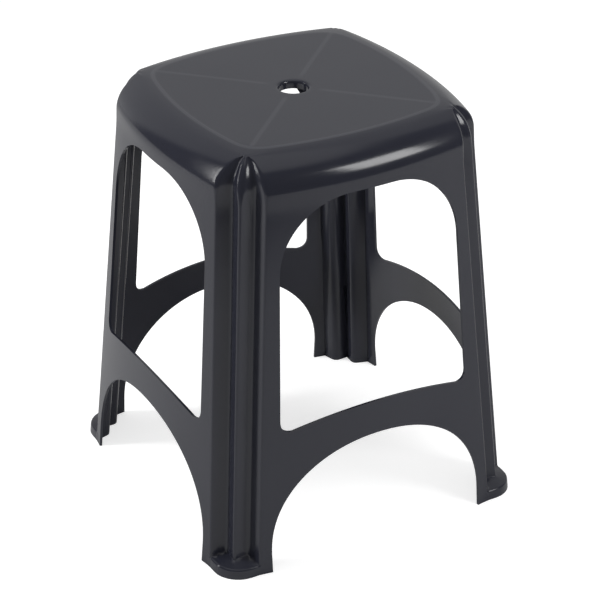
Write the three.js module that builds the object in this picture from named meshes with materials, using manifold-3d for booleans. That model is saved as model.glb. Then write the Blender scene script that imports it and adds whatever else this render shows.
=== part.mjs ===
// Stacking stool: one injection-moulded plastic shell, modelled as its named sections.
// Millimetres, +Z up. The origin is on the floor, below the middle of the seat.
// The stool is the same on all four sides, so each side, leg and toe is made once and turned.

import * as THREE from 'three';
import { mergeVertices } from 'three/addons/utils/BufferGeometryUtils.js';
import Module from 'manifold-3d';

// Overall shell
const stoolHeight = 450;
const floorHalf = 178.5; // centre to a side at the floor, measured at the flutes
const sideLean = 30.5; // how far a side has come in at the crease under the seat rim
const creaseHalf = floorHalf - sideLean;
const creaseDepth = 34; // from the seat's top to the crease
const creaseHeight = stoolHeight - creaseDepth;
const sideBow = 13; // how far the middle of a side stands out past its flutes
const wall = 2.8;
const jointGap = 0.3; // joint line between two sections of the moulding
const cutOverrun = 25; // how far a cutter runs past what it cuts
const weldDistance = 0.01;

// Fluted corners, measured from the corner where two sides would meet
const fluteReachFloor = 37.5;
const fluteReachCrease = 36;
const grooveDepth = 16; // how far the two grooves lie behind their sides
const grooveDraft = 4.5; // lean of a groove's outer wall, over its depth
const middleRibInset = 14.8; // how far the rib between the grooves lies behind both sides
const fluteEdgeRadius = 4;

// Windows between seat and rails, measured on a side from its middle
const apronDepth = 11; // from the crease to the window's head
const windowHeadHeight = creaseHeight - apronDepth;
const legWidthHead = 45; // from the window to the leg's flutes and out to the side, at the head
const windowHeadHalf = creaseHalf - legWidthHead;
const windowHeadRoundShare = 0.78; // radius of the head's round corners, of that half width
const windowHeadRadius = windowHeadHalf * windowHeadRoundShare;
const legWidthSill = 68.5; // from the sill's end to the side at the floor
const windowSillHalf = floorHalf - legWidthSill;
const windowSillHeight = 158.5; // at the ends of the rail
const railCrown = 11.5; // how much higher the rail's top is at its middle
const sillCornerRadius = 12;

// Arches between rails and floor
const legWidthFloor = 51; // from the arch to the side
const archHalf = floorHalf - legWidthFloor;
const railDepth = 25.5; // at the middle of the arch, below the ends of the sill
const archHeight = windowSillHeight - railDepth;
const archSpring = 22; // height where the straight sides of the arch turn over
const archPower = 2.2; // 2 would be an ellipse, more is squarer

// Legs end and rails and aprons begin here, measured from the middle of a side
const legInnerWidth = 51; // from the side at the crease
const legInnerEdge = creaseHalf - legInnerWidth;

// Seat rim, which rolls over from the sides to the flat panel
const rimBulge = 2; // how far the middle of a side stands out past the apron
const bulgeDepth = 24; // from the seat's top to the widest of the rim
const bulgeHeight = stoolHeight - bulgeDepth;
const rollPowerMiddle = 1.4; // the roll-over's section: 2 would be an ellipse, 1 a straight slope
const rollPowerCorner = 1.65;
const rimCornerPower = 3.5; // how close to a corner the rim's side falls away to the flutes
const rollReachMiddle = 30; // how far the roll-over comes in at the middle of a side
const rollReachCorner = 41; // and at the flutes, where it starts from the crease
const panelHalf = creaseHalf - rollReachCorner;
const panelBow = rollReachCorner - rollReachMiddle + sideBow;

// Flutes in the roll-over: they narrow until the three ribs meet
const fluteClosing = 5.6; // how far the outer ribs turn towards the corner
const closingInset = 29; // how far they have come in by then
const fluteClosingPower = 6;
const fluteEndInset = 26; // how far the outer ribs have come in where the flutes run out
const fluteEndReach = 5;
const fluteFadeWay = 4; // over this way further in, what is left of the flutes runs out
const innerEndInset = 16; // the same on the inner face, before flutes get narrower than the wall
const innerFadeWay = 8;
const panelCornerWay = 22; // the panel's corner is round from this far before the flutes' line

// Seat panel and what is under it
const panelThickness = 3.4;
const fingerHoleRadius = 15.5;
const fingerHoleLip = 3; // radius of the rounded top edge
const collarDepth = 9; // from the seat's top to the collar's lower edge
const collarWall = 2.6;
const ribThickness = 2.4;
const ribDepthCorner = 3.5; // at the collar the ribs are as deep as the collar
const ribEndInset = 9; // from the panel's corner to the rib's end

// Toes, which close the flutes at the floor
const toeFlare = 0.4; // how far the toe stands out past the side
const toeCornerRadius = 32;
const toeRimHeight = 9;
const toeEdgeRound = 2; // bevel between the toe's upright edge and its sloping top
const toeTopInset = 26; // plan depth over which the top of the toe climbs
const toeTopRise = 8;
const toeWall = 2.8;

// Numbers of facets
const sideSteps = 6; // along half a side
const edgeSteps = 3; // round each flute edge
const rollSteps = 11;
const headSteps = 12;
const archSteps = 28;
const roundSteps = 40;
const lipSteps = 4;
const toeSteps = 10;

const plasticColour = 0x37383c;
const plasticRoughness = 0.38;

const quarterTurn = Math.PI / 2;
const fullTurn = Math.PI * 2;

const wasm = await Module();
wasm.setup();

// Solids

function solidFromGeometry(geometry) {
  const bare = geometry.clone();
  bare.deleteAttribute('normal');
  bare.deleteAttribute('uv');
  const welded = mergeVertices(bare);
  const mesh = new wasm.Mesh({
    numProp: 3,
    vertProperties: new Float32Array(welded.attributes.position.array),
    triVerts: new Uint32Array(welded.index.array),
  });
  return new wasm.Manifold(mesh);
}

// Vertices nearer than the weld distance become one, and triangles that lose a side are dropped.
function geometryFromSolid(solid) {
  const mesh = solid.getMesh();
  const raw = new THREE.BufferGeometry();
  raw.setAttribute('position', new THREE.BufferAttribute(mesh.vertProperties, 3));
  raw.setIndex(new THREE.BufferAttribute(mesh.triVerts, 1));
  const geometry = mergeVertices(raw, weldDistance);
  const index = [];
  const corners = geometry.index.array;
  for (let i = 0; i < corners.length; i += 3) {
    const [a, b, c] = corners.slice(i, i + 3);
    if (a !== b && b !== c && c !== a) {
      index.push(a, b, c);
    }
  }
  geometry.setIndex(index);
  geometry.computeVertexNormals();
  return geometry;
}

// Stacks closed outlines of equal length into a solid. As a stack they go from the lowest to the
// highest, with flat ends. As a ring they go up outside, down inside and back to the first.
// A section is { height, outline }, and an outline is a list of Vector2, anticlockwise from above.
function loft(sections, asRing = false) {
  const count = sections[0].outline.length;
  const positions = [];
  const index = [];
  for (const { height, outline } of sections) {
    for (const point of outline) {
      positions.push(point.x, point.y, height);
    }
  }
  const levels = asRing ? sections.length : sections.length - 1;
  for (let level = 0; level < levels; level++) {
    const low = level * count;
    const high = ((level + 1) % sections.length) * count;
    for (let i = 0; i < count; i++) {
      const next = (i + 1) % count;
      index.push(low + i, low + next, high + next);
      index.push(low + i, high + next, high + i);
    }
  }
  if (!asRing) {
    const top = (sections.length - 1) * count;
    for (const [a, b, c] of THREE.ShapeUtils.triangulateShape(sections[0].outline, [])) {
      index.push(a, c, b);
    }
    for (const [a, b, c] of THREE.ShapeUtils.triangulateShape(sections.at(-1).outline, [])) {
      index.push(top + a, top + b, top + c);
    }
  }
  const geometry = new THREE.BufferGeometry();
  geometry.setAttribute('position', new THREE.Float32BufferAttribute(positions, 3));
  geometry.setIndex(index);
  return solidFromGeometry(geometry);
}

// A block between two corners.
function block(low, high) {
  const size = high.clone().sub(low);
  const geometry = new THREE.BoxGeometry(size.x, size.y, size.z);
  geometry.translate(low.x + size.x / 2, low.y + size.y / 2, low.z + size.z / 2);
  return solidFromGeometry(geometry);
}

// A shape drawn on the front of the stool, x across and y up, cut through from front to back.
function frontCutter(shape, curveSegments) {
  const reach = floorHalf + sideBow + cutOverrun;
  const geometry = new THREE.ExtrudeGeometry(shape, {
    depth: reach * 2,
    bevelEnabled: false,
    curveSegments,
  });
  geometry.rotateX(quarterTurn);
  geometry.translate(0, reach, 0);
  return solidFromGeometry(geometry);
}

// Plan outlines

function smoothStep(from, to, value) {
  const share = THREE.MathUtils.clamp((value - from) / (to - from), 0, 1);
  return share * share * (3 - 2 * share);
}

// Half width of the shell at a height: its sides lean in evenly.
function halfAt(height) {
  return THREE.MathUtils.lerp(floorHalf, creaseHalf, height / creaseHeight);
}

function fluteReachAt(height) {
  return THREE.MathUtils.lerp(fluteReachFloor, fluteReachCrease, height / creaseHeight);
}

// Replaces a corner between two straight runs by an arc that touches both.
function filletPoints(before, corner, after, radius, steps) {
  const towards = before.clone().sub(corner).normalize();
  const away = after.clone().sub(corner).normalize();
  const halfAngle = Math.acos(THREE.MathUtils.clamp(towards.dot(away), -1, 1)) / 2;
  const middle = towards.clone().add(away).normalize();
  const centre = middle.multiplyScalar(radius / Math.sin(halfAngle)).add(corner);
  const start = towards.multiplyScalar(radius / Math.tan(halfAngle)).add(corner).sub(centre);
  const end = away.multiplyScalar(radius / Math.tan(halfAngle)).add(corner).sub(centre);
  const sweep = Math.atan2(start.x * end.y - start.y * end.x, start.dot(end));
  const points = [];
  for (let i = 0; i <= steps; i++) {
    points.push(start.clone().rotateAround(new THREE.Vector2(), (sweep * i) / steps).add(centre));
  }
  return points;
}

function turned(points, quarters) {
  const middle = new THREE.Vector2();
  return points.map((point) => point.clone().rotateAround(middle, quarters * quarterTurn));
}

function fourTimes(quarterPoints) {
  return [0, 1, 2, 3].flatMap((quarters) => turned(quarterPoints, quarters));
}

// How much of the roll-over's way in is still left at a height: all at its start, none at the top.
function rollLeft(start, power, height) {
  const heightShare = THREE.MathUtils.clamp((height - start) / (stoolHeight - start), 0, 1);
  return (1 - heightShare ** power) ** (1 / power);
}

// The measures of the shell's outline at a height. half is to the outer ribs of the flutes, and
// chordHalf is their place along a side. The side stands out past them by bow, which falls away
// evenly, and by swell, which falls away near the corners. inset is how far the roll-over has
// come in, and sideEnd is the share of a side that is left when the panel's corner gets round.
function sectionAt(height) {
  if (height <= creaseHeight) {
    const half = halfAt(height);
    const chordHalf = half - fluteReachAt(height);
    return { half, chordHalf, bow: sideBow, swell: 0, inset: 0, sideEnd: 1 };
  }
  const cornerLeft = rollLeft(creaseHeight, rollPowerCorner, height);
  const middleLeft = rollLeft(bulgeHeight, rollPowerMiddle, height);
  const half = THREE.MathUtils.lerp(panelHalf, creaseHalf, cornerLeft);
  const inset = creaseHalf - half;
  const closing = fluteClosing * (inset / closingInset) ** fluteClosingPower;
  const chordHalf = Math.min(
    creaseHalf - fluteReachCrease + closing,
    half - fluteEndReach
  );
  const widest = creaseHalf + sideBow + rimBulge * smoothStep(creaseHeight, bulgeHeight, height);
  const middle = THREE.MathUtils.lerp(panelHalf + panelBow, widest, middleLeft);
  const swell = middle - half - sideBow;
  const rounded = Math.max((inset - closingInset) / (rollReachCorner - closingInset), 0) ** 2;
  const sideEnd = 1 - (rounded * panelCornerWay) / chordHalf;
  return { half, chordHalf, bow: sideBow, swell, inset, sideEnd };
}

// One quarter of the outline: half of the +X side, the corner with its three ribs and two
// grooves, and half of the +Y side. The grooves shrink with the reach of the flutes, and fade is
// how much of them has run out and left a round corner, which touches both sides.
function outlineQuarter({ half, chordHalf, bow, swell, sideEnd }, fade) {
  const sidePoint = (share) =>
    new THREE.Vector2(
      half + bow * (1 - share ** 2) + swell * (1 - share ** rimCornerPower),
      chordHalf * share
    );
  const points = [];
  for (let i = 0; i < sideSteps; i++) {
    points.push(sidePoint((sideEnd * i) / sideSteps));
  }
  const shrink = (half - chordHalf) / fluteReachCrease;
  const depth = grooveDepth * shrink;
  const draft = grooveDraft * shrink;
  const ribPlace = half - middleRibInset * shrink;
  const lastSidePoint = points.at(-1);
  const corners = [
    lastSidePoint,
    new THREE.Vector2(half, chordHalf),
    new THREE.Vector2(half - depth, chordHalf + draft),
    new THREE.Vector2(ribPlace, ribPlace),
    new THREE.Vector2(chordHalf + draft, half - depth),
    new THREE.Vector2(chordHalf, half),
    new THREE.Vector2(lastSidePoint.y, lastSidePoint.x),
  ];
  const fluted = [];
  for (let i = 1; i + 1 < corners.length; i++) {
    fluted.push(
      ...filletPoints(corners[i - 1], corners[i], corners[i + 1], fluteEdgeRadius * shrink, edgeSteps)
    );
  }
  const end = sidePoint(sideEnd);
  const slope =
    (bow * 2 * sideEnd + swell * rimCornerPower * sideEnd ** (rimCornerPower - 1)) / chordHalf;
  const meeting = end.y + (end.x - end.y) / (1 + slope);
  const corner = new THREE.QuadraticBezierCurve(
    end,
    new THREE.Vector2(meeting, meeting),
    new THREE.Vector2(end.y, end.x)
  );
  fluted.forEach((point, i) => {
    const plain = corner.getPoint(i / (fluted.length - 1));
    points.push(point.clone().lerp(plain, fade));
  });
  for (let i = sideSteps - 1; i > 0; i--) {
    const mirrored = sidePoint((sideEnd * i) / sideSteps);
    points.push(new THREE.Vector2(mirrored.y, mirrored.x));
  }
  return points;
}

function shellOutline(height) {
  const section = sectionAt(height);
  const fade = smoothStep(fluteEndInset, fluteEndInset + fluteFadeWay, section.inset);
  return fourTimes(outlineQuarter(section, fade));
}

function innerOutline(height) {
  const section = sectionAt(height);
  const fade = smoothStep(innerEndInset, innerEndInset + innerFadeWay, section.inset);
  return insetOutline(fourTimes(outlineQuarter(section, fade)), wall);
}

// Moves every point of an outline inwards, square to the outline.
function insetOutline(outline, distance) {
  const count = outline.length;
  return outline.map((point, i) => {
    const before = point.clone().sub(outline[(i + count - 1) % count]).normalize();
    const after = outline[(i + 1) % count].clone().sub(point).normalize();
    const along = before.clone().add(after).normalize();
    const stretch = 1 / Math.max(along.dot(after), Math.SQRT1_2);
    return new THREE.Vector2(-along.y, along.x).multiplyScalar(distance * stretch).add(point);
  });
}

// Shell

function windowShape() {
  const headStart = windowHeadHeight - windowHeadRadius;
  const headCentre = windowHeadHalf - windowHeadRadius;
  const crownStart = windowSillHalf - sillCornerRadius;
  const shape = new THREE.Shape();
  shape.moveTo(-crownStart, windowSillHeight);
  shape.quadraticCurveTo(0, windowSillHeight + railCrown * 2, crownStart, windowSillHeight);
  shape.quadraticCurveTo(
    windowSillHalf,
    windowSillHeight,
    windowSillHalf,
    windowSillHeight + sillCornerRadius
  );
  shape.lineTo(windowHeadHalf, headStart);
  shape.absarc(headCentre, headStart, windowHeadRadius, 0, quarterTurn, false);
  shape.lineTo(-headCentre, windowHeadHeight);
  shape.absarc(-headCentre, headStart, windowHeadRadius, quarterTurn, quarterTurn * 2, false);
  shape.lineTo(-windowSillHalf, windowSillHeight + sillCornerRadius);
  shape.quadraticCurveTo(-windowSillHalf, windowSillHeight, -crownStart, windowSillHeight);
  return shape;
}

function archShape() {
  const rise = archHeight - archSpring;
  const shape = new THREE.Shape();
  shape.moveTo(-archHalf, -cutOverrun);
  shape.lineTo(archHalf, -cutOverrun);
  for (let i = 0; i <= archSteps; i++) {
    const angle = (Math.PI * i) / archSteps;
    const across = Math.sign(Math.cos(angle)) * Math.abs(Math.cos(angle)) ** (2 / archPower);
    const up = Math.abs(Math.sin(angle)) ** (2 / archPower);
    shape.lineTo(archHalf * across, archSpring + rise * up);
  }
  return shape;
}

const halfGap = jointGap / 2;
const wallTop = creaseHeight - halfGap;
const outerBody = loft([
  { height: 0, outline: shellOutline(0) },
  { height: wallTop, outline: shellOutline(wallTop) },
]);
const innerBody = loft([
  { height: -cutOverrun, outline: innerOutline(-cutOverrun) },
  { height: creaseHeight, outline: innerOutline(creaseHeight) },
]);
const window = frontCutter(windowShape(), headSteps);
const arch = frontCutter(archShape(), archSteps);
const openings = window.add(arch);
const walls = outerBody.subtract(innerBody).subtract(openings).subtract(openings.rotate([0, 0, 90]));

// Sections of the shell

const farOut = floorHalf + sideBow + cutOverrun;
const betweenOpenings = (windowSillHeight + windowHeadHeight) / 2;

function frontSection(low, high) {
  const innerEdge = legInnerEdge - halfGap;
  return walls.intersect(
    block(new THREE.Vector3(-innerEdge, -farOut, low), new THREE.Vector3(innerEdge, 0, high))
  );
}

function makeApron() {
  return frontSection(betweenOpenings, creaseHeight);
}

function makeRail() {
  return frontSection(0, betweenOpenings);
}

function makeLeg() {
  const innerEdge = legInnerEdge + halfGap;
  return walls.intersect(
    block(
      new THREE.Vector3(-farOut, -farOut, -cutOverrun),
      new THREE.Vector3(-innerEdge, -innerEdge, creaseHeight)
    )
  );
}

// One quarter of the rim: up its outer face, over the joint at the panel, and down its inner face.
function makeSeatRim() {
  const underPanel = stoolHeight - panelThickness;
  const heightShares = [];
  for (let i = 1; i < rollSteps; i++) {
    heightShares.push(Math.sin((quarterTurn * i) / rollSteps) ** (2 / rollPowerCorner));
  }
  const outer = heightShares.map((share) => {
    const height = THREE.MathUtils.lerp(creaseHeight, stoolHeight, share);
    return { height, outline: shellOutline(height) };
  });
  const inner = heightShares.slice(0, -1).map((share) => ({
    height: THREE.MathUtils.lerp(creaseHeight, underPanel, share),
    outline: innerOutline(THREE.MathUtils.lerp(creaseHeight, stoolHeight, share)),
  }));
  const low = creaseHeight + halfGap;
  const atPanel = insetOutline(shellOutline(stoolHeight), -halfGap);
  const ring = loft(
    [
      { height: low, outline: shellOutline(low) },
      ...outer,
      { height: stoolHeight, outline: atPanel },
      { height: underPanel, outline: atPanel },
      ...inner.reverse(),
      { height: low, outline: innerOutline(low) },
    ],
    true
  );
  return ring.intersect(
    block(
      new THREE.Vector3(-farOut, -farOut, creaseHeight),
      new THREE.Vector3(-halfGap, -halfGap, stoolHeight + cutOverrun)
    )
  );
}

// Turns a profile of radius and height round the vertical axis.
function revolve(profile) {
  const geometry = new THREE.LatheGeometry(profile, roundSteps);
  geometry.rotateX(quarterTurn);
  return solidFromGeometry(geometry);
}

function makeSeatPanel() {
  const edge = insetOutline(shellOutline(stoolHeight), halfGap);
  const sheet = loft([
    { height: stoolHeight - panelThickness, outline: edge },
    { height: stoolHeight, outline: edge },
  ]);
  const below = stoolHeight - panelThickness - cutOverrun;
  const profile = [new THREE.Vector2(0, below), new THREE.Vector2(fingerHoleRadius, below)];
  for (let i = 0; i <= lipSteps; i++) {
    const angle = (quarterTurn * i) / lipSteps;
    profile.push(
      new THREE.Vector2(
        fingerHoleRadius + fingerHoleLip * (1 - Math.cos(angle)),
        stoolHeight - fingerHoleLip * (1 - Math.sin(angle))
      )
    );
  }
  const above = stoolHeight + cutOverrun;
  profile.push(new THREE.Vector2(fingerHoleRadius + fingerHoleLip, above));
  profile.push(new THREE.Vector2(0, above));
  return sheet.subtract(revolve(profile));
}

const ribTop = stoolHeight - panelThickness - jointGap;
const collarLow = stoolHeight - collarDepth;

function makeCollar() {
  const outer = fingerHoleRadius + collarWall;
  return revolve([
    new THREE.Vector2(fingerHoleRadius, collarLow),
    new THREE.Vector2(outer, collarLow),
    new THREE.Vector2(outer, ribTop),
    new THREE.Vector2(fingerHoleRadius, ribTop),
    new THREE.Vector2(fingerHoleRadius, collarLow),
  ]);
}

// The rib under the +X side, before it is turned to a corner: deepest at the collar.
function makeSeatRib() {
  const start = fingerHoleRadius + collarWall + jointGap;
  const end = panelHalf * Math.SQRT2 - ribEndInset;
  const profile = new THREE.Shape();
  profile.moveTo(start, ribTop);
  profile.lineTo(start, collarLow);
  profile.lineTo(end, ribTop - ribDepthCorner);
  profile.lineTo(end, ribTop);
  const geometry = new THREE.ExtrudeGeometry(profile, { depth: ribThickness, bevelEnabled: false });
  geometry.rotateX(quarterTurn);
  geometry.translate(0, ribThickness / 2, 0);
  return solidFromGeometry(geometry);
}

// Toes

// The plan of a toe at the -X -Y corner: a square with its outer corner rounded.
function toeOutline(inset, height) {
  const outer = halfAt(height) + toeFlare - inset;
  const radius = toeCornerRadius - inset;
  const inner = halfAt(height) - fluteReachAt(height) + halfGap;
  const centre = outer - radius;
  const points = [new THREE.Vector2(-inner, -inner), new THREE.Vector2(-outer, -inner)];
  for (let i = 0; i <= toeSteps; i++) {
    const angle = Math.PI + (quarterTurn * i) / toeSteps;
    points.push(
      new THREE.Vector2(-centre + radius * Math.cos(angle), -centre + radius * Math.sin(angle))
    );
  }
  points.push(new THREE.Vector2(-inner, -outer));
  return points;
}

function makeToe() {
  const top = toeRimHeight + toeEdgeRound + toeTopRise;
  const outside = loft([
    { height: 0, outline: toeOutline(0, 0) },
    { height: toeRimHeight, outline: toeOutline(0, toeRimHeight) },
    { height: toeRimHeight + toeEdgeRound, outline: toeOutline(toeEdgeRound, toeRimHeight) },
    { height: top, outline: toeOutline(toeTopInset, top) },
  ]);
  const inside = loft([
    { height: -cutOverrun, outline: toeOutline(toeWall, 0) },
    { height: toeRimHeight - toeWall, outline: toeOutline(toeWall, toeRimHeight) },
    { height: top - toeWall, outline: toeOutline(toeTopInset, top) },
  ]);
  const legSpace = loft([
    { height: -cutOverrun, outline: insetOutline(shellOutline(-cutOverrun), -jointGap) },
    { height: creaseHeight, outline: insetOutline(shellOutline(creaseHeight), -jointGap) },
  ]);
  return outside.subtract(inside).subtract(legSpace);
}

// Assembly

const stool = new THREE.Group();
stool.name = 'stacking_stool';

function plastic() {
  return new THREE.MeshStandardMaterial({
    color: plasticColour,
    roughness: plasticRoughness,
    metalness: 0,
  });
}

function place(name, geometry, angle) {
  const mesh = new THREE.Mesh(geometry, plastic());
  mesh.name = name;
  mesh.rotation.z = angle;
  stool.add(mesh);
}

place('seat_panel', geometryFromSolid(makeSeatPanel()), 0);
place('hole_collar', geometryFromSolid(makeCollar()), 0);

const apron = geometryFromSolid(makeApron());
const rail = geometryFromSolid(makeRail());
['front', 'right', 'back', 'left'].forEach((side, quarters) => {
  place(`apron_${side}`, apron, quarters * quarterTurn);
  place(`rail_${side}`, rail, quarters * quarterTurn);
});

const seatRim = geometryFromSolid(makeSeatRim());
const leg = geometryFromSolid(makeLeg());
const toe = geometryFromSolid(makeToe());
const seatRib = geometryFromSolid(makeSeatRib());
['front_left', 'front_right', 'back_right', 'back_left'].forEach((corner, quarters) => {
  place(`rim_${corner}`, seatRim, quarters * quarterTurn);
  place(`leg_${corner}`, leg, quarters * quarterTurn);
  place(`toe_${corner}`, toe, quarters * quarterTurn);
  place(`seat_rib_${quarters + 1}`, seatRib, (quarters + 0.5) * quarterTurn + Math.PI);
});

export default stool;
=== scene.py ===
import bpy
import numpy as np
from mathutils import Matrix


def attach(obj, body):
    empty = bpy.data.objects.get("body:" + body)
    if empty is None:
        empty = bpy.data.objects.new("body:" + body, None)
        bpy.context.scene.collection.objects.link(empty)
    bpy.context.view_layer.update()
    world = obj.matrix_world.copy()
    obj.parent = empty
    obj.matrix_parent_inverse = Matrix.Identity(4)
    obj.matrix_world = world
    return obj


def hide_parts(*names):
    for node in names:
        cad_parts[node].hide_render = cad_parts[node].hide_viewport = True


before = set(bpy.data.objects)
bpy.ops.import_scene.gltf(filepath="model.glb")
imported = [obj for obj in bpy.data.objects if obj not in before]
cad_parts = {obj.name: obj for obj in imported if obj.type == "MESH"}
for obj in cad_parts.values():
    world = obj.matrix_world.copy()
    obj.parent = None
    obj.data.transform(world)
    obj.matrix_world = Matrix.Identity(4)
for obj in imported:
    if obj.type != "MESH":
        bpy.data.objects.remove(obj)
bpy.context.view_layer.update()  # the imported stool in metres: floor at z = 0, front side to -Y

# Shapes are worked out in millimetres and made metres in the mesh.
toMetres = 0.001

shell = {
    "top": 450.0,            # height of the seat
    "floorHalf": 178.5,      # middle of the stool to a side's outer rib, at the floor
    "crease": 416.0,         # height of the crease under the seat rim
    "creaseHalf": 148.0,     # middle to outer rib there
    "creaseRound": 8.0,      # the lines are averaged this far up and down
    "firmFrom": 424.0,       # and less between these heights, where the roll-over turns fast
    "firmTo": 440.0,
    "bow": 13.0,             # how far a side stands out at its middle
    "wall": 2.8,             # thickness of the moulding
    "edgeRound": 0.7,        # rounding of every cut edge
    "edgeAngle": 50.0,       # degrees: an edge is one that gets rounded from this on
}

flutes = {
    "reachFloor": 37.5,      # corner to outer rib
    "reachCrease": 36.0,
    "depth": 16.0,           # outer rib to the groove's floor
    "draft": 4.5,            # how far the groove's wall leans over that depth
    "middleInset": 14.8,     # how far the middle rib lies behind both sides
    "ribRadius": 2.6,        # crisp on the legs, soft in the rim
    "ribRadiusTop": 7.5,
    "floorRadius": 4.0,      # the same in the corners of the groove's floor
    "floorRadiusTop": 6.0,
    "topFrom": 400.0,        # the radii grow between these heights
    "topTo": 430.0,
    "closing": 5.6,          # the outer ribs turn this far to the corner as the rim rolls over
    "closingInset": 29.0,
    "closingPower": 6.0,
    "endReach": 4.0,         # the least reach, so that the flutes close to a point
    "fadeStart": 26.0,       # where they run out, by how far the roll-over has come in
    "fadeWay": 4.0,
    "innerFadeStart": 16.0,  # the same for the inner face
    "innerFadeWay": 8.0,
}

rim = {
    "bulge": 2.0,            # the widest of the rim past the wall under it
    "cornerBulge": 1.4,      # the same at the outer ribs
    "bulgeFrom": 398.0,      # it grows between these heights
    "bulgeHeight": 426.0,
    "rollStart": 418.0,      # height where the middle of a side starts to roll over
    "powerMiddle": 1.72,     # section of the roll-over: 2 is an ellipse, 1 a straight slope
    "powerCorner": 1.8,      # the same at the corners
    "sidePower": 3.5,        # how close to the corner the side falls away
    "panelHalf": 109.0,      # middle of the stool to the flat panel's edge, near a corner
    "panelMiddle": 124.5,    # and at the middle of a side
    "cornerFrom": 18.0,      # the corner gets round once the roll-over has come in this far
    "cornerWay": 32.0,       # the panel's corner is round from this far before the ribs' line
    "cornerPower": 1.1,      # over 1, it gets round late
}


def mix(low, high, share):
    return low + (high - low) * share


def spread(count, low, high):
    # even steps, both ends included
    return np.linspace(low, high, count)


def smoothStep(low, high, value):
    # 0 below low, 1 above high, and 3s^2 - 2s^3 between them
    share = np.clip((value - low) / (high - low), 0.0, 1.0)
    return share * share * (3.0 - 2.0 * share)


def rollLeft(start, power, z):
    # superellipse quarter: (1 - s^p)^(1/p) of the roll-over's width is left at a share s of its
    # height
    share = np.clip((z - start) / (shell["top"] - start), 0.0, 1.0)
    return (1.0 - share ** power) ** (1.0 / power)


def creasedSection(z):
    # measures of the outline at each height: half to the outer ribs, chord their place along the
    # side, swell what the rim adds at the middle, inset how far the roll-over has come in, and end
    # the share of a side that is left when the panel's corner gets round
    upper = z > shell["crease"]
    lean = z / shell["crease"]
    cornerLeft = rollLeft(shell["crease"], rim["powerCorner"], z)
    half = np.where(
        upper,
        mix(rim["panelHalf"], shell["creaseHalf"], cornerLeft),
        mix(shell["floorHalf"], shell["creaseHalf"], lean),
    )
    inset = np.where(upper, shell["creaseHalf"] - half, 0.0)
    closing = flutes["closing"] * (inset / flutes["closingInset"]) ** flutes["closingPower"]
    standing = smoothStep(rim["bulgeFrom"], rim["bulgeHeight"], z)
    chord = np.where(
        upper,
        np.minimum(
            shell["creaseHalf"] - flutes["reachCrease"] + closing, half - flutes["endReach"]
        ),
        half - mix(flutes["reachFloor"], flutes["reachCrease"], lean),
    )
    cornerOut = rim["cornerBulge"] * standing * np.where(upper, cornerLeft, 1.0)
    half = half + cornerOut
    chord = chord + cornerOut
    swelling = rim["bulge"] * standing
    widest = shell["creaseHalf"] + shell["bow"] + swelling
    middleLeft = rollLeft(rim["rollStart"], rim["powerMiddle"], z)
    middle = mix(rim["panelMiddle"], widest, middleLeft)
    swell = np.where(upper, middle - half - shell["bow"], swelling - cornerOut)
    panelWay = shell["creaseHalf"] - rim["panelHalf"] - rim["cornerFrom"]
    rounded = np.maximum((inset - rim["cornerFrom"]) / panelWay, 0.0) ** rim["cornerPower"]
    end = 1.0 - rounded * rim["cornerWay"] / chord
    return {"z": z, "half": half, "chord": chord, "swell": swell, "inset": inset, "end": end}


def sectionAt(z):
    # the same, averaged over heights above and below so that the crease is soft
    z = np.asarray(z, float)
    way = shell["creaseRound"] * (1.0 - smoothStep(shell["firmFrom"], shell["firmTo"], z))
    weights = {-1.0: 0.12, -0.5: 0.22, 0.0: 0.32, 0.5: 0.22, 1.0: 0.12}
    near = {step: creasedSection(z + way * step) for step in weights}
    return {
        name: sum(weights[step] * near[step][name] for step in weights) for name in near[0.0]
    }


def sideOut(section, y):
    # x of the +X side at a place y along it: half + bow (1 - t^2) + swell (1 - t^power), where t
    # is y / chord
    t = np.abs(y) / section["chord"][:, None]
    return (
        section["half"][:, None]
        + shell["bow"] * (1.0 - t ** 2)
        + section["swell"][:, None] * (1.0 - t ** rim["sidePower"])
    )


def unit(vectors):
    return vectors / np.linalg.norm(vectors, axis=-1, keepdims=True)


def roundedCorner(before, corner, after, radius, count):
    # arcs that touch both runs from the corner: the centre lies radius / sin(half angle) along the
    # bisector, and the first touching point turns about it to the second
    towards = unit(before - corner)
    away = unit(after - corner)
    cosine = np.clip((towards * away).sum(-1, keepdims=True), -1.0, 1.0)
    halfAngle = np.arccos(cosine) / 2.0
    radius = radius[:, None]
    centre = corner + unit(towards + away) * radius / np.sin(halfAngle)
    start = corner + towards * radius / np.tan(halfAngle) - centre
    end = corner + away * radius / np.tan(halfAngle) - centre
    sweep = np.arctan2(
        start[:, 0] * end[:, 1] - start[:, 1] * end[:, 0], (start * end).sum(-1)
    )
    angle = sweep[:, None] * spread(count, 0.0, 1.0)[None]
    x = start[:, :1] * np.cos(angle) - start[:, 1:] * np.sin(angle)
    y = start[:, :1] * np.sin(angle) + start[:, 1:] * np.cos(angle)
    return centre[:, None] + np.stack([x, y], -1)


def between(first, last, count):
    # count points strictly between the last point of one run and the first of the next
    share = (np.arange(count) + 1.0) / (count + 1.0)
    return mix(first[:, None], last[:, None], share[None, :, None])


# points across half a corner, part by part
cornerColumns = {"ribArc": 8, "wall": 1, "floorArc": 5, "floor": 1, "middleArc": 9}


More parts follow.
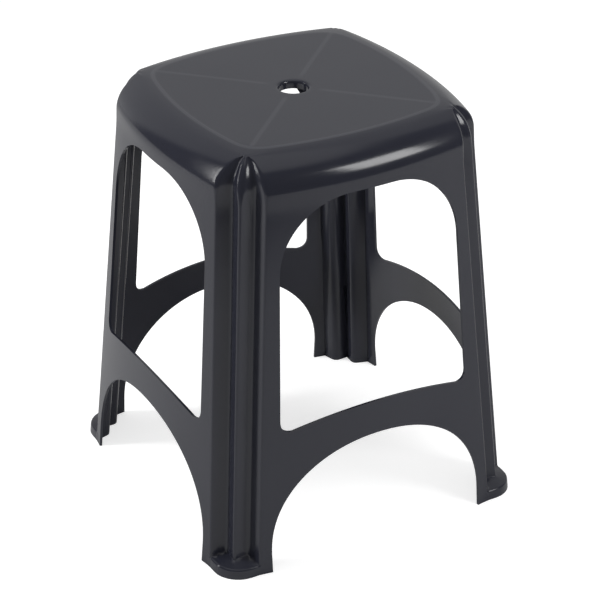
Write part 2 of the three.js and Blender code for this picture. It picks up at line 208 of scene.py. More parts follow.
def fluteColumns(section, fadeStart, fadeWay):
    # half of the corner, from the outer rib to the diagonal: rib, groove wall, groove floor and
    # middle rib, all shrinking with the reach, then fading to half of a quadratic curve, which
    # leaves both sides along their own slopes
    half, chord, swell = section["half"], section["chord"], section["swell"]
    top = smoothStep(flutes["topFrom"], flutes["topTo"], section["z"])
    shrink = (half - chord) / flutes["reachCrease"]
    slope = (2.0 * shell["bow"] + rim["sidePower"] * swell) / chord
    outerRib = np.stack([half, chord], -1)
    alongSide = outerRib + np.stack([slope, -np.ones_like(slope)], -1)
    floorCorner = np.stack(
        [half - flutes["depth"] * shrink, chord + flutes["draft"] * shrink], -1
    )
    ribPlace = half - flutes["middleInset"] * shrink
    middleRib = np.stack([ribPlace, ribPlace], -1)
    radius = mix(flutes["ribRadius"], flutes["ribRadiusTop"], top) * shrink
    floorRadius = mix(flutes["floorRadius"], flutes["floorRadiusTop"], top) * shrink
    ribArc = roundedCorner(alongSide, outerRib, floorCorner, radius, cornerColumns["ribArc"])
    floorArc = roundedCorner(
        outerRib, floorCorner, middleRib, floorRadius, cornerColumns["floorArc"]
    )
    middleArc = roundedCorner(
        floorCorner, middleRib, floorCorner[:, ::-1], radius, cornerColumns["middleArc"]
    )
    middleArc = middleArc[:, : cornerColumns["middleArc"] // 2 + 1]
    fluted = np.concatenate(
        [
            ribArc,
            between(ribArc[:, -1], floorArc[:, 0], cornerColumns["wall"]),
            floorArc,
            between(floorArc[:, -1], middleArc[:, 0], cornerColumns["floor"]),
            middleArc,
        ],
        axis=1,
    )
    end = section["end"]
    endY = chord * end
    endX = sideOut(section, endY[:, None])[:, 0]
    endSlope = 2.0 * shell["bow"] * end + rim["sidePower"] * swell * end ** (rim["sidePower"] - 1.0)
    meeting = endY + (endX - endY) / (1.0 + endSlope / chord)
    across = spread(fluted.shape[1], 0.0, 0.5)[None, :, None]
    start = np.stack([endX, endY], -1)[:, None]
    pull = np.stack([meeting, meeting], -1)[:, None]
    plain = (1.0 - across) ** 2 * start + 2.0 * across * (1.0 - across) * pull
    plain = plain + across ** 2 * start[..., ::-1]
    fade = smoothStep(fadeStart, fadeStart + fadeWay, section["inset"])[:, None, None]
    return mix(fluted, plain, fade)


toe = {
    "flare": 0.4,            # how far it stands out past the outer ribs
    "cornerRadius": 29.0,
    "leastRadius": 3.0,      # of the corner, higher up its slope
    "rimHeight": 9.0,        # its upright edge
    "edgeRadius": 2.2,
    "slopeRise": 8.0,        # its top climbs this far over slopeDepth
    "slopeDepth": 26.0,
    "clear": 4.0,            # no blend is looked for higher than this above the slope
    "blend": 1.6,            # fillet where the ribs stand on the toe
    "pocketFrom": 7.5,       # the toe is hollow from below where it is thicker than this
}


def toeReach(angle, z):
    # distance to the toe's outline: a square with round corners that comes in over the rounded
    # edge by R - sqrt(R^2 - h^2), then evenly up its sloping top
    rounding = np.clip(z - toe["rimHeight"], 0.0, toe["edgeRadius"])
    over = toe["edgeRadius"] - np.sqrt(toe["edgeRadius"] ** 2 - rounding ** 2)
    climbed = np.maximum(z - toe["rimHeight"] - toe["edgeRadius"], 0.0) / toe["slopeRise"]
    inset = over + climbed * toe["slopeDepth"]
    half = sectionAt(z)["half"] + toe["flare"] - inset
    radius = np.maximum(toe["cornerRadius"] - inset, toe["leastRadius"])
    centre = (half - radius)[:, None] * np.sqrt(2.0)
    off = np.pi / 4.0 - angle
    inside = np.maximum(radius[:, None] ** 2 - (centre * np.sin(off)) ** 2, 0.0)
    onCorner = centre * np.cos(off) + np.sqrt(inside)
    onSide = half[:, None] / np.cos(angle)
    tangent = np.arctan2((half - radius), half)[:, None]
    return np.where(angle > tangent, onCorner, onSide)


def withToe(points, z):
    # the larger of wall and toe along each ray, with the blend's rounding where they meet
    x, y = points[..., 0], points[..., 1]
    angle = np.arctan2(y, x)
    reach = np.hypot(x, y)
    toeAt = toeReach(angle, z)
    overlap = np.maximum(toe["blend"] - np.abs(reach - toeAt), 0.0)
    both = np.maximum(reach, toeAt) + overlap ** 2 / (4.0 * toe["blend"])
    low = z < toe["rimHeight"] + toe["edgeRadius"] + toe["slopeRise"] + toe["clear"]
    both = np.where(low[:, None], both, reach)
    return np.stack([np.cos(angle) * both, np.sin(angle) * both], -1)


print("stool: lines of the windows and arches")

window = {
    "headHeight": 405.0,
    "headHalf": 103.0,
    "headRadius": 80.34,     # of the round corners of the head
    "sillHalf": 110.0,
    "sillHeight": 158.5,
    "crown": 11.5,           # how far the sill rises at its middle
    "sillCorner": 12.0,
    "apronHalf": 86.0,       # the grid's line goes on from its head to here at the crease
}

arch = {
    "half": 126.0,
    "height": 133.3,
    "spring": 21.0,          # it is upright below this height
    "power": 2.08,           # 2 is an ellipse
    "turn": 48.0,            # degrees: here the grid's line leaves the arch for the window
}


def bezier(start, pull, end, t):
    # quadratic curve through start and end: (1-t)^2 start + 2t(1-t) pull + t^2 end
    t = t[:, None]
    start, pull, end = np.array(start), np.array(pull), np.array(end)
    return (1.0 - t) ** 2 * start + 2.0 * t * (1.0 - t) * pull + t ** 2 * end


def archPoints(angle):
    # superellipse over the springing line, then given as (place along the side, height)
    power = 2.0 / arch["power"]
    rise = arch["height"] - arch["spring"]
    return np.stack(
        [arch["half"] * np.cos(angle) ** power, arch["spring"] + rise * np.sin(angle) ** power], -1
    )


def sillHeightAt(y):
    # parabola that crowns the rail at its middle
    end = window["sillHalf"] - window["sillCorner"]
    return window["sillHeight"] + window["crown"] * (1.0 - (y / end) ** 2)


turn = np.radians(arch["turn"])
toeEdge = toe["rimHeight"] + toe["edgeRadius"]
toeTop = toeEdge + toe["slopeRise"]
legFoot = np.concatenate(                                 # closest over the toe's round edge
    [
        spread(4, 0.0, toe["rimHeight"]),
        toe["rimHeight"] + toe["edgeRadius"] * np.array([0.35, 0.7, 0.9, 1.0]),
        spread(10, toeEdge + 0.6, toeTop + 1.2),
    ]
)
footLine = np.stack([np.full(legFoot.size, arch["half"]), legFoot], -1)
archRise = archPoints(spread(18, 0.0, turn))
archLine = np.concatenate([footLine, archRise])           # from the floor up to the turn
archOver = archPoints(spread(23, turn, np.pi / 2.0))[::-1]  # from the middle out to the turn

sillEnd = window["sillHalf"] - window["sillCorner"]
sillFlat = spread(17, 0.0, sillEnd)
cornerBottom = (sillEnd, window["sillHeight"])
cornerPull = (window["sillHalf"], window["sillHeight"])
cornerTop = (window["sillHalf"], window["sillHeight"] + window["sillCorner"])
sillLine = np.concatenate(
    [
        np.stack([sillFlat, sillHeightAt(sillFlat)], -1),
        bezier(cornerBottom, cornerPull, cornerTop, spread(7, 0.0, 0.5))[1:],
    ]
)
headCentre = np.array(
    [window["headHalf"] - window["headRadius"], window["headHeight"] - window["headRadius"]]
)


def headPoints(angle):
    # circle round the head's centre
    return headCentre + window["headRadius"] * np.stack([np.cos(angle), np.sin(angle)], -1)


upright = mix(
    np.array(cornerTop), headPoints(np.array([0.0]))[0], spread(10, 0.0, 1.0)[:, None]
)
windowLine = np.concatenate(
    [
        bezier(cornerBottom, cornerPull, cornerTop, spread(7, 0.5, 1.0)),
        upright[1:],
        headPoints(spread(12, 0.0, np.pi / 4.0))[1:],
    ]
)
headArc = headPoints(spread(17, np.pi / 2.0, np.pi / 4.0))
headTop = np.stack([spread(7, 0.0, headCentre[0])[:-1], np.full(6, window["headHeight"])], -1)
headLine = np.concatenate([headTop, headArc])             # from the middle out to the turn
inner = sillLine.shape[0] - 1                             # cells across half an opening
assert archOver.shape[0] == headLine.shape[0] == inner + 1

print("stool: grid of half a side")

railRows = 6
apronRows = 5
railTurns = mix(archLine[-1], windowLine[0], spread(railRows + 1, 0.0, 1.0)[1:-1, None])
apronEdge = np.array([window["apronHalf"], shell["crease"]])
apronTurns = mix(windowLine[-1], apronEdge, spread(apronRows + 1, 0.0, 1.0)[1:, None])
edgeLine = np.concatenate([archLine, railTurns, windowLine, apronTurns])
archTopRow = archLine.shape[0] - 1
sillRow = archTopRow + railRows
headRow = sillRow + windowLine.shape[0] - 1
creaseRow = headRow + apronRows

rollRows = 27
rollShare = np.sin(spread(rollRows + 1, 0.0, np.pi / 2.0)[1:]) ** (2.0 / rim["powerCorner"])
rollHeights = mix(shell["crease"], shell["top"], rollShare)
heights = np.concatenate([edgeLine[:, 1], rollHeights])
flangeCells = 8


def halfSide(fadeStart, fadeWay, standsOnToe):
    # rows of points from the middle of the +X side out to the diagonal
    section = sectionAt(heights)
    corner = fluteColumns(section, fadeStart, fadeWay)
    ribStart = corner[:, 0, 1]
    apronShares = spread(inner + 1, 0.0, window["apronHalf"] / ribStart[creaseRow])
    edge = ribStart * apronShares[-1]
    edge[: creaseRow + 1] = edgeLine[:, 0]
    flangeShare = spread(flangeCells + 1, 0.0, 1.0)[:-1]
    flangeY = mix(edge[:, None], ribStart[:, None], flangeShare[None])
    flange = np.stack([sideOut(section, flangeY), flangeY], -1)
    wall = np.concatenate([flange, corner], axis=1)
    if standsOnToe:
        wall = withToe(wall, heights)
    wallHeights = np.broadcast_to(heights[:, None, None], wall.shape[:2] + (1,))
    wall = np.concatenate([wall, wallHeights], -1)

    # inside the edge line the columns run evenly from one curve to the next
    crest = np.stack([ribStart[creaseRow] * apronShares, np.full(inner + 1, shell["crease"])], -1)
    ground = np.stack([arch["half"] * spread(inner + 1, 0.0, 1.0), np.zeros(inner + 1)], -1)
    curves = [ground, archOver, sillLine, headLine, crest]
    starts = [0, archTopRow, sillRow, headRow, creaseRow]
    field = [
        mix(low, high, spread(last - first + 1, 0.0, 1.0)[:-1, None, None])
        for low, high, first, last in zip(curves, curves[1:], starts, starts[1:])
    ]
    y, z = np.moveaxis(np.concatenate(field)[:, :-1], -1, 0)
    rimY = ribStart[creaseRow:, None] * apronShares[None, :-1]
    y = np.concatenate([y, rimY])
    z = np.concatenate([z, np.broadcast_to(heights[creaseRow:, None], rimY.shape)])
    flat = sectionAt(z.ravel())
    middle = sideOut(flat, y.ravel()[:, None])[:, 0].reshape(y.shape)
    return np.concatenate([np.stack([middle, y, z], -1), wall], axis=1)


hole = {
    "radius": 15.5,
    "lip": 3.0,              # radius of its rounded edge
    "collarLow": 441.0,      # height where the collar under the panel ends
}


def seatRows(edge):
    # the panel comes in on straight lines to the lip, which is a quarter circle, then the collar
    count = edge.shape[0]
    angle = spread(count, 0.0, np.pi / 4.0)
    ring = np.stack([np.cos(angle), np.sin(angle)], -1)
    lipRadius = hole["radius"] + hole["lip"]
    shares = np.array([0.02, 0.06, 0.14, 0.28, 0.45, 0.62, 0.78, 0.9, 0.97, 1.0])
    panel = mix(edge[None, :, :2], ring[None] * lipRadius, shares[:, None, None])
    bend = spread(8, 0.0, np.pi / 2.0)[1:, None, None]
    lip = ring[None] * (hole["radius"] + hole["lip"] * (1.0 - np.sin(bend)))
    lipZ = shell["top"] - hole["lip"] * (1.0 - np.cos(bend))
    collarZ = spread(4, shell["top"] - hole["lip"], hole["collarLow"])[1:, None, None]
    collar = np.broadcast_to(ring[None] * hole["radius"], (collarZ.size, count, 2))
    flat = np.concatenate([panel, lip, collar])
    z = np.concatenate([np.full((shares.size, 1, 1), shell["top"]), lipZ, collarZ])
    return np.concatenate([flat, np.broadcast_to(z, flat.shape[:2] + (1,))], -1)


def wholeRound(half):
    # the mirror image across the diagonal, then four quarter turns
    mirrored = half[:, :0:-1][..., [1, 0, 2]]
    x, y, z = np.moveaxis(np.concatenate([half[:, :-1], mirrored], axis=1), -1, 0)
    turns = [(x, y), (-y, x), (-x, -y), (y, -x)]
    return np.concatenate([np.stack([a, b, z], -1) for a, b in turns], axis=1)


def gridNormals(points):
    # cross product of the steps along and across the grid, at every point
    along = np.roll(points, -1, axis=1) - np.roll(points, 1, axis=1)
    up = np.gradient(points, axis=0)
    return unit(np.cross(along, up))


def moulding(fadeStart, fadeWay, standsOnToe):
    half = halfSide(fadeStart, fadeWay, standsOnToe)
    return wholeRound(np.concatenate([half, seatRows(half[-1])]))


outerFace = moulding(flutes["fadeStart"], flutes["fadeWay"], True)
innerBase = moulding(flutes["innerFadeStart"], flutes["innerFadeWay"], False)
innerFace = innerBase - gridNormals(innerBase) * shell["wall"]
innerFace[0, :, 2] = 0.0
innerFace[-1, :, 2] = hole["collarLow"]

rows, columns = outerFace.shape[:2]
halfColumns = columns // 8
keepHalf = np.ones((rows - 1, halfColumns), bool)
keepHalf[:archTopRow, :inner] = False
keepHalf[sillRow:headRow, :inner] = False
keep = np.tile(np.concatenate([keepHalf, keepHalf[:, ::-1]], axis=1), (1, 4))


def plainMesh(name, vertices, faces):
    mesh = bpy.data.meshes.new(name)
    mesh.from_pydata((vertices * toMetres).tolist(), [], faces)
    mesh.validate()
    mesh.polygons.foreach_set("use_smooth", np.ones(len(mesh.polygons), bool))
    mesh.update()
    piece = bpy.data.objects.new(name, mesh)
    bpy.context.scene.collection.objects.link(piece)
    return piece


def pocketUnder(outer, inside):
    # four rows of points that lead from the outer foot line up into the toe and down to the inner
    # foot line, one wall's thickness from each; its ceiling climbs with the toe's sloping top
    way = inside - outer
    thickness = np.linalg.norm(way, axis=1, keepdims=True)
    step = way / thickness * shell["wall"]
    low, high = outer + step, inside - step
    ceiling = np.zeros_like(step)
    ceiling[:, 2] = toe["rimHeight"] - shell["wall"]
    climb = np.zeros_like(step)
    climb[:, 2:] = toe["slopeRise"] * (thickness - 2.0 * shell["wall"]) / toe["slopeDepth"]
    return np.stack([low, low + ceiling, high + ceiling + climb, high]), thickness[:, 0]


def shellMesh(name, outer, inside, keep):
    # outer and inner faces of the kept cells, joined by a strip along every open edge; on the
    # floor the strip runs through the toe's pocket
    row, column = np.nonzero(keep)
    following = (column + 1) % columns
    a, b = row * columns + column, row * columns + following
    outerQuads = np.stack([a, b, b + columns, a + columns], -1)
    total = rows * columns
    innerQuads = outerQuads[:, ::-1] + total
    edges = np.stack([outerQuads, np.roll(outerQuads, -1, axis=1)], -1).reshape(-1, 2)
    forward = edges[:, 0].astype(np.int64) * total + edges[:, 1]
    backward = edges[:, 1].astype(np.int64) * total + edges[:, 0]
    openEdges = edges[~np.isin(forward, backward)]
    onFloor = (openEdges < columns).all(axis=1)
    first, last = openEdges[~onFloor].T
    strips = np.stack([last, first, first + total, last + total], -1)

    pocket, thickness = pocketUnder(outer[0], inside[0])
    foot = np.arange(columns)
    hollow = 2 * total + foot + columns * np.arange(4)[:, None]
    hollow = np.where(thickness > toe["pocketFrom"], hollow, foot)
    chain = np.concatenate([foot[None], hollow, foot[None] + total])
    first, last = openEdges[onFloor].T
    under = np.stack([chain[:-1, last], chain[:-1, first], chain[1:, first], chain[1:, last]], -1)

    quads = np.concatenate([outerQuads, innerQuads, strips, under.reshape(-1, 4)])
    used, compact = np.unique(quads, return_inverse=True)
    points = np.concatenate([outer.reshape(-1, 3), inside.reshape(-1, 3), pocket.reshape(-1, 3)])
    faces = [list(dict.fromkeys(face)) for face in compact.reshape(-1, 4).tolist()]
    return plainMesh(name, points[used], [face for face in faces if len(face) > 2])


def roundEdges(piece, width, segments):
    bevel = piece.modifiers.new("edge_round", "BEVEL")
    bevel.width = width * toMetres
    bevel.segments = segments
    bevel.limit_method = "ANGLE"
    bevel.angle_limit = np.radians(shell["edgeAngle"])
    bevel.harden_normals = True
    bevel.use_clamp_overlap = True


stoolShell = shellMesh("stool_shell", outerFace, innerFace, keep)
roundEdges(stoolShell, shell["edgeRound"], 3)
print("stool: shell has", len(stoolShell.data.polygons), "faces")

ribs = {
    "start": 18.6,           # from the collar out along a diagonal
    "end": 142.0,
    "thickness": 2.4,
    "draft": 0.35,           # how much thinner a rib is at its lower edge, per side
    "depthMiddle": 5.3,      # at the collar
    "depthCorner": 3.5,
    "buried": 1.3,           # how far its top goes into the panel
    "top": 446.3,
    "lowRound": 0.16,        # share of the depth over which its lower edge is round
    "edgeRound": 0.3,
    "stations": 24,
}


def ribMesh(name, quarter):
    # a drafted section with a round lower edge, carried along a diagonal as its depth shrinks
    share = spread(ribs["stations"], 0.0, 1.0)
    distance = mix(ribs["start"], ribs["end"], share)
    depth = mix(ribs["depthMiddle"], ribs["depthCorner"], share)
    halfTop = ribs["thickness"] / 2.0
    halfLow = halfTop - ribs["draft"]
    angle = spread(9, 0.0, np.pi)
    across = np.concatenate([[halfTop], halfLow * np.cos(angle), [-halfTop]])
    down = np.concatenate([[0.0], 1.0 - ribs["lowRound"] * (1.0 - np.sin(angle)), [0.0]])
    low = ribs["top"] - depth[:, None] * down[None]
    low[:, [0, -1]] = ribs["top"] + ribs["buried"]
    turned = np.pi / 4.0 + quarter * np.pi / 2.0
    x = distance[:, None] * np.cos(turned) - across[None] * np.sin(turned)
    y = distance[:, None] * np.sin(turned) + across[None] * np.cos(turned)
    points = np.stack([x, y, low], -1)
    count = across.size
    station, place = np.meshgrid(np.arange(ribs["stations"] - 1), np.arange(count), indexing="ij")
    following = (place + 1) % count
    a, b = station * count + place, station * count + following
    faces = np.stack([a, a + count, b + count, b], -1).reshape(-1, 4).tolist()
    faces.append(list(range(count)))
    faces.append(list(range(ribs["stations"] * count - 1, (ribs["stations"] - 1) * count - 1, -1)))
    return plainMesh(name, points.reshape(-1, 3), faces)


underRibs = [ribMesh(f"under_seat_rib_{i + 1}", i) for i in range(4)]
for piece in underRibs:
    roundEdges(piece, ribs["edgeRound"], 2)

print("stool: plastic")

plastic = {
    "colour": (0.0186, 0.0196, 0.029, 1.0),
    "pale": (0.0224, 0.0236, 0.0345, 1.0),
    "refraction": 1.49,
    "roughness": (0.13, 0.2),
    "clouds": (7.0, 3.0),    # scale and detail: slow change of tone, as in recycled plastic
    "handling": (22.0, 6.0),  # rubbed and smoother places
    "handlingFrom": (0.3, 0.7),
    "wave": (9.0, 1.0),      # slow waviness of a large moulding
    "waveHeight": 0.0004,    # m
    "grain": (900.0, 2.0),   # fine satin grain of the mould
    "grainHeight": 0.00002,
}

seatHighlightLines = {                # painted highlights: pale lines on the seat over the ribs below it and round the panel's edge, in metres
    "colour": (0.041, 0.0425, 0.054, 1.0),
    "half": 0.0013,
    "fade": 0.002,
    "ribShare": 0.7,         # strength of the lines over the ribs
    "ribFrom": (0.03, 0.05),  # |x| + |y| over which they begin, outside the finger hole
    "border": 0.1252,        # middle of the stool to the line round the panel
    "borderBow": 1.2,        # per m: how the line comes in to its corners
    "borderRound": 0.03,     # its corners are round where the two sides differ by less
    "borderEnd": 0.003,      # the rib lines run out this far past it
    "seatFrom": (0.447, 0.449),  # heights over which all the lines begin
}


def plug(tree, value, socket):
    # a link where the value is another node's output, or else the plain value
    if isinstance(value, bpy.types.NodeSocket):
        tree.links.new(value, socket)
    else:
        socket.default_value = value


def newNode(tree, kind, values, **settings):
    # a node with its settings made first, then its inputs filled by name or number
    node = tree.nodes.new(kind)
    for name, setting in settings.items():
        setattr(node, name, setting)
    for name, value in values.items():
        plug(tree, value, node.inputs[name])
    return node


def number(tree, operation, *values):
    node = newNode(tree, "ShaderNodeMath", dict(enumerate(values)), operation=operation)
    return node.outputs[0]


def ramp(tree, value, ends, levels, shape="SMOOTHSTEP"):
    # goes from the first level to the second between the two ends, and is level beyond them
    values = {
        "Value": value,
        "From Min": ends[0],
        "From Max": ends[1],
        "To Min": levels[0],
        "To Max": levels[1],
    }
    node = newNode(tree, "ShaderNodeMapRange", values, interpolation_type=shape)
    return node.outputs["Result"]


def blend(tree, kind, share, low, high):
    values = {"Factor": share, "A": low, "B": high}
    return newNode(tree, "ShaderNodeMix", values, data_type=kind).outputs["Result"]


def noise(tree, place, pattern):
    values = {"Vector": place, "Scale": pattern[0], "Detail": pattern[1]}
    return newNode(tree, "ShaderNodeTexNoise", values).outputs["Fac"]


def bump(tree, height, distance, **under):
    values = {"Strength": 1.0, "Distance": distance, "Height": height, **under}
    return newNode(tree, "ShaderNodeBump", values).outputs["Normal"]


def paintedSeatHighlights(tree, place):
    # painted highlight over the ribs under the seat: | |x| - |y| | / sqrt 2 is the way to a
    # diagonal
    axes = newNode(tree, "ShaderNodeSeparateXYZ", {0: place}).outputs
    alongX = number(tree, "ABSOLUTE", axes["X"])
    alongY = number(tree, "ABSOLUTE", axes["Y"])
    apart = number(tree, "ABSOLUTE", number(tree, "SUBTRACT", alongX, alongY))
    away = number(tree, "MULTIPLY", apart, np.sqrt(0.5))
    edge = (seatHighlightLines["half"], seatHighlightLines["half"] + seatHighlightLines["fade"])
    ribHighlight = ramp(tree, away, edge, (seatHighlightLines["ribShare"], 0.0))
    begun = ramp(tree, number(tree, "ADD", alongX, alongY), seatHighlightLines["ribFrom"], (0.0, 1.0))
    ribHighlight = number(tree, "MULTIPLY", ribHighlight, begun)

    # painted highlight round the panel: where the larger of |x| + bow y^2 and |y| + bow x^2 is the
    # border's place
    squareX = number(tree, "MULTIPLY", alongX, alongX)
    squareY = number(tree, "MULTIPLY", alongY, alongY)
    outX = number(tree, "MULTIPLY_ADD", squareY, seatHighlightLines["borderBow"], alongX)
    outY = number(tree, "MULTIPLY_ADD", squareX, seatHighlightLines["borderBow"], alongY)
    out = number(tree, "SMOOTH_MAX", outX, outY, seatHighlightLines["borderRound"])
    away = number(tree, "ABSOLUTE", number(tree, "SUBTRACT", out, seatHighlightLines["border"]))
    border = ramp(tree, away, edge, (1.0, 0.0))
    ends = (seatHighlightLines["border"], seatHighlightLines["border"] + seatHighlightLines["borderEnd"])
    ribHighlight = number(tree, "MULTIPLY", ribHighlight, ramp(tree, out, ends, (1.0, 0.0)))
    both = number(tree, "MAXIMUM", ribHighlight, border)
    return number(tree, "MULTIPLY", both, ramp(tree, axes["Z"], seatHighlightLines["seatFrom"], (0.0, 1.0)))


def plasticMaterial():
    material = bpy.data.materials.new("charcoal_plastic")
    material.use_nodes = True
    tree = material.node_tree
    tree.nodes.clear()
    place = newNode(tree, "ShaderNodeTexCoord", {}).outputs["Object"]
    clouds = noise(tree, place, plastic["clouds"])
    tone = blend(tree, "RGBA", clouds, plastic["colour"], plastic["pale"])
    # painted highlights: the seat's colour is made paler along the diagonals over its ribs and
    # round its panel
    colour = blend(tree, "RGBA", paintedSeatHighlights(tree, place), tone, seatHighlightLines["colour"])
    handling = noise(tree, place, plastic["handling"])
    roughness = ramp(tree, handling, plastic["handlingFrom"], plastic["roughness"], "LINEAR")
    waves = bump(tree, noise(tree, place, plastic["wave"]), plastic["waveHeight"])
    grain = noise(tree, place, plastic["grain"])
    values = {
        "Base Color": colour,
        "Metallic": 0.0,
        "IOR": plastic["refraction"],
        "Roughness": roughness,
        "Normal": bump(tree, grain, plastic["grainHeight"], Normal=waves),
    }
    surface = newNode(tree, "ShaderNodeBsdfPrincipled", values)
    newNode(tree, "ShaderNodeOutputMaterial", {"Surface": surface.outputs["BSDF"]})
    return material


charcoal = plasticMaterial()
for piece in [stoolShell, *underRibs]:
    piece.data.materials.append(charcoal)
    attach(piece, "root")

ribNodes = [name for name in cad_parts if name.startswith("seat_rib_")]
shellNodes = [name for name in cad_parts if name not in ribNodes]
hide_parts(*shellNodes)
for i, piece in enumerate(underRibs):
    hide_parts(f"seat_rib_{(i + 2) % 4 + 1}")

print("studio: floor, light and camera")

studio = {
    "floor": (-1.6, -1.28, 1.6, 2.1),  # left, front, right and back edge, in m
    "floorColour": (0.75, 0.75, 0.75, 1.0),
    "floorPaintedShade": (0.56, 0.56, 0.56, 1.0),  # painted shade: its darker colour away from the lamps, where their light falls off
    "floorShadeWay": (-0.485, 0.875, 0.0),  # the way in which the painted shade deepens
    "floorShadeFall": (0.45, 1.3),
    "floorGlow": 0.6,        # makes it white for the camera alone
    "skyLight": 0.35,        # what lights the stool from all round
    "darkWall": 0.1,         # what its gloss shows: dark walls, a backdrop and a pale ceiling
    "backdrop": 0.54,
    "backdropAt": (0.483, 0.876, 0.35),
    "backdropEdge": (0.47, 0.61),
    "ceiling": 0.8,
    "ceilingEdge": (0.82, 0.93),
    "lamps": [
        # name, place, aims at, width, height, watts, lean in degrees, seen in the gloss
        ("left_softbox", (-1.98, 0.95, 1.15), (-0.15, -0.05, 0.35), 0.2, 1.7, 14.0, 15.0, True),
        ("left_fill", (-1.98, 0.95, 1.15), (-0.15, -0.05, 0.35), 0.42, 1.7, 22.5, 0.0, False),
        ("right_softbox", (1.036, -1.613, 1.332), (0.0, -0.16, 0.43), 0.82, 0.835, 18.6, 0.0, True),
        ("top_panel", (0.1, 0.3, 2.6), (0.0, 0.0, 0.4), 2.0, 2.0, 16.0, 0.0, False),
    ],
}


def alongWay(tree, place, way):
    # how far a place or a direction lies along a way, as their dot product
    node = newNode(tree, "ShaderNodeVectorMath", {0: place, 1: way}, operation="DOT_PRODUCT")
    return node.outputs["Value"]


def stageMaterial():
    # a lit floor that keeps the stool's shadow, with shade painted into its colour away from the
    # lamps, and a glow that only the camera sees
    material = bpy.data.materials.new("white_stage")
    material.use_nodes = True
    tree = material.node_tree
    tree.nodes.clear()
    place = newNode(tree, "ShaderNodeTexCoord", {}).outputs["Object"]
    # painted shade: the floor's colour darkens along its way away from the lamps
    away = alongWay(tree, place, studio["floorShadeWay"])
    paintedShadeShare = ramp(tree, away, studio["floorShadeFall"], (0.0, 1.0), "LINEAR")
    tone = blend(tree, "RGBA", paintedShadeShare, studio["floorColour"], studio["floorPaintedShade"])
    surface = newNode(tree, "ShaderNodeBsdfDiffuse", {"Color": tone})
    seen = newNode(tree, "ShaderNodeLightPath", {}).outputs["Is Camera Ray"]
    strength = number(tree, "MULTIPLY", seen, studio["floorGlow"])
    glow = newNode(tree, "ShaderNodeEmission", {"Strength": strength})
    both = newNode(tree, "ShaderNodeAddShader", {0: surface.outputs[0], 1: glow.outputs[0]})
    newNode(tree, "ShaderNodeOutputMaterial", {"Surface": both.outputs[0]})
    return material


def studioWorld():
    # white for the eye; for gloss, dark walls with a backdrop behind the stool and a pale ceiling;
    # and one even level for all other light
    world = bpy.data.worlds.new("studio")
    world.use_nodes = True
    tree = world.node_tree
    tree.nodes.clear()
    direction = newNode(tree, "ShaderNodeTexCoord", {}).outputs["Generated"]
    up = newNode(tree, "ShaderNodeSeparateXYZ", {0: direction}).outputs["Z"]
    behind = alongWay(tree, direction, studio["backdropAt"])
    backdrop = ramp(tree, behind, studio["backdropEdge"], (0.0, studio["backdrop"]))
    ceiling = ramp(tree, up, studio["ceilingEdge"], (0.0, studio["ceiling"]))
    shown = number(tree, "MAXIMUM", number(tree, "MAXIMUM", backdrop, ceiling), studio["darkWall"])
    path = newNode(tree, "ShaderNodeLightPath", {}).outputs
    glossy = blend(tree, "FLOAT", path["Is Glossy Ray"], studio["skyLight"], shown)
    seen = number(tree, "MAXIMUM", path["Is Camera Ray"], path["Is Transmission Ray"])
    values = {"Color": (1.0, 1.0, 1.0, 1.0), "Strength": blend(tree, "FLOAT", seen, glossy, 1.0)}
    background = newNode(tree, "ShaderNodeBackground", values)
    newNode(tree, "ShaderNodeOutputWorld", {"Surface": background.outputs[0]})
    return world


floorLeft, floorFront, floorRight, floorBack = studio["floor"]
floorCorners = [
    (floorLeft, floorFront, 0.0),
    (floorRight, floorFront, 0.0),
    (floorRight, floorBack, 0.0),
    (floorLeft, floorBack, 0.0),
]
floorMesh = bpy.data.meshes.new("floor")
floorMesh.from_pydata(floorCorners, [], [(0, 1, 2, 3)])
floor = bpy.data.objects.new("floor", floorMesh)
bpy.context.scene.collection.objects.link(floor)
floor.data.materials.append(stageMaterial())
bpy.context.scene.world = studioWorld()


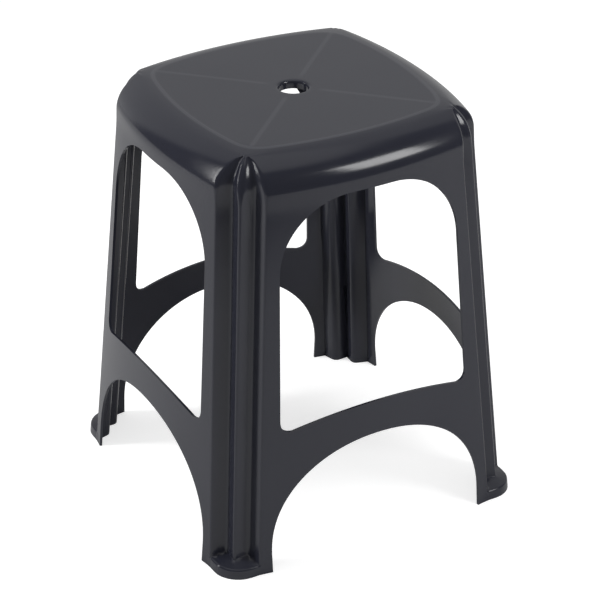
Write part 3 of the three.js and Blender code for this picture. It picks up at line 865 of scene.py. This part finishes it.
def aimed(place, target, lean):
    # turns the -Z axis of a lamp to the target, with its height upright but for the lean
    back = unit(np.array(place) - np.array(target))
    right = unit(np.cross([0.0, 0.0, 1.0], back))
    up = np.cross(back, right)
    lean = np.radians(lean)
    right, up = np.cos(lean) * right + np.sin(lean) * up, np.cos(lean) * up - np.sin(lean) * right
    turned = np.eye(4)
    turned[:3, 0], turned[:3, 1], turned[:3, 2], turned[:3, 3] = right, up, back, place
    return Matrix(turned.tolist())


for name, place, target, width, height, watts, lean, inGloss in studio["lamps"]:
    lamp = bpy.data.lights.new(name, "AREA")
    lamp.shape = "RECTANGLE"
    lamp.size = width
    lamp.size_y = height
    lamp.energy = watts
    lampObject = bpy.data.objects.new(name, lamp)
    lampObject.matrix_world = aimed(place, target, lean)
    lampObject.visible_glossy = inGloss
    bpy.context.scene.collection.objects.link(lampObject)

view = {                     # where the photograph was taken from
    "azimuth": -28.88,       # degrees, from straight in front towards the left
    "elevation": 28.615,
    "distance": 2.4849,
    "target": (0.0, 0.0, 0.225),
    "focal": 2322.2,         # in pixels of a frame 600 wide
    "frame": 600.0,
    "centre": (294.18, 279.36),
    "roll": -0.234,
}
azimuth, elevation = np.radians(view["azimuth"]), np.radians(view["elevation"])
back = np.array(
    [
        np.sin(azimuth) * np.cos(elevation),
        -np.cos(azimuth) * np.cos(elevation),
        np.sin(elevation),
    ]
)
right = unit(np.cross(-back, [0.0, 0.0, 1.0]))
up = np.cross(right, -back)
rolled = np.radians(view["roll"])
pose = np.eye(4)
pose[:3, 0] = np.cos(rolled) * right + np.sin(rolled) * up
pose[:3, 1] = -np.sin(rolled) * right + np.cos(rolled) * up
pose[:3, 2] = back
pose[:3, 3] = np.array(view["target"]) + back * view["distance"]
lens = bpy.data.cameras.new("camera")
lens.sensor_width = 36.0
lens.lens = view["focal"] * lens.sensor_width / view["frame"]
middle = view["frame"] / 2.0
lens.shift_x = (middle - view["centre"][0]) / view["frame"]
lens.shift_y = -(middle - view["centre"][1]) / view["frame"]
camera = bpy.data.objects.new("camera", lens)
camera.matrix_world = Matrix(pose.tolist())
bpy.context.scene.collection.objects.link(camera)
bpy.context.scene.camera = camera
bpy.context.scene.view_settings.view_transform = "Standard"

bpy.context.view_layer.update()
